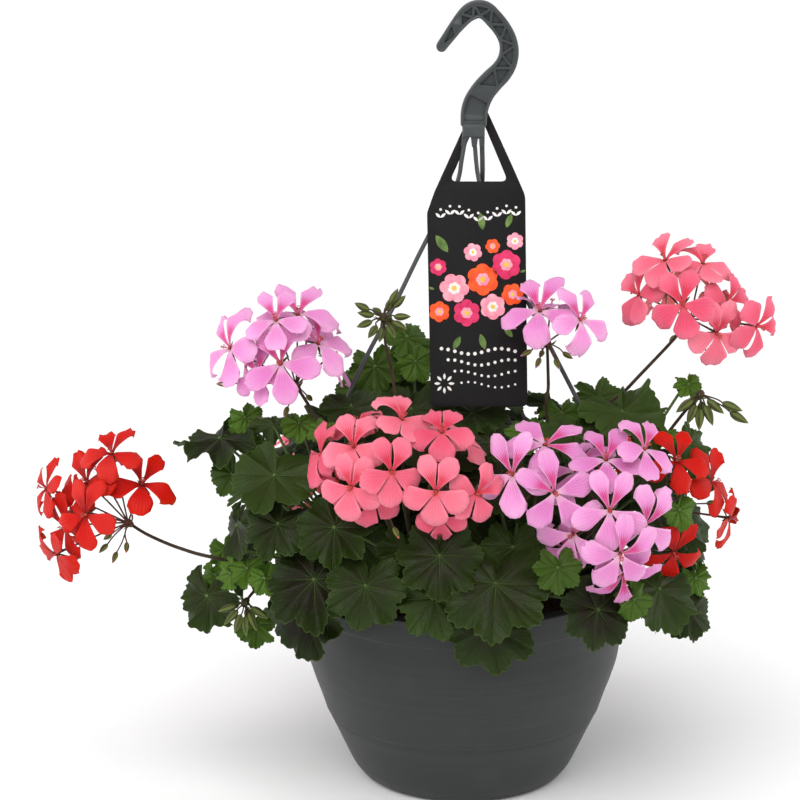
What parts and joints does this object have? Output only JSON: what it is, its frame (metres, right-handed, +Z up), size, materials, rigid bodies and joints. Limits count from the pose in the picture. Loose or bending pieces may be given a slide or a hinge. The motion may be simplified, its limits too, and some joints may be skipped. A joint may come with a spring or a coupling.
{
  "type": "geranium hanging basket",
  "caption": "Trailing geranium in flower in a round plastic hanging pot, with a moulded hook and arm hanger and a hang tag.",
  "frame": {"origin": "centre of the pot's base, on the plane that the pot stands on", "axes": "+Z up towards the hook, -Y towards the side that the flowers and the tag face, +X to that viewer's right"},
  "size_m": [0.6072, 0.4192, 0.6508],
  "materials": {
    "pot_plastic": "matte moulded polypropylene, anthracite",
    "potting_soil": "loose dark peat compost",
    "hanger_plastic": "satin moulded polypropylene, grey-green",
    "tag_card": "printed plastic card",
    "geranium_green": "soft leaf and stem",
    "petal_lilac": "thin soft petal",
    "petal_salmon": "thin soft petal",
    "petal_red": "thin soft petal"
  },
  "bodies": {
    "root": {"pot": "pot_plastic", "soil": "potting_soil", "hanger": "hanger_plastic", "hang_tag": "tag_card", "leafy_stem_0": "geranium_green", "leafy_stem_1": "geranium_green", "leafy_stem_2": "geranium_green", "leafy_stem_3": "geranium_green", "leafy_stem_4": "geranium_green", "leafy_stem_5": "geranium_green", "leafy_stem_6": "geranium_green", "leafy_stem_7": "geranium_green", "leafy_stem_8": "geranium_green", "leafy_stem_9": "geranium_green", "leafy_stem_10": "geranium_green", "leafy_stem_11": "geranium_green", "head_lilac_upper_left": "petal_lilac", "head_lilac_small": "petal_lilac", "head_lilac_right": "petal_lilac", "head_lilac_middle": "petal_lilac", "head_salmon_left": "petal_salmon", "head_salmon_middle": "petal_salmon", "head_salmon_upper_right": "petal_salmon", "head_red_left": "petal_red", "head_red_right": "petal_red", "head_red_back": "petal_red", "head_lilac_back": "petal_lilac", "head_salmon_back": "petal_salmon"}
  },
  "joints": []
}
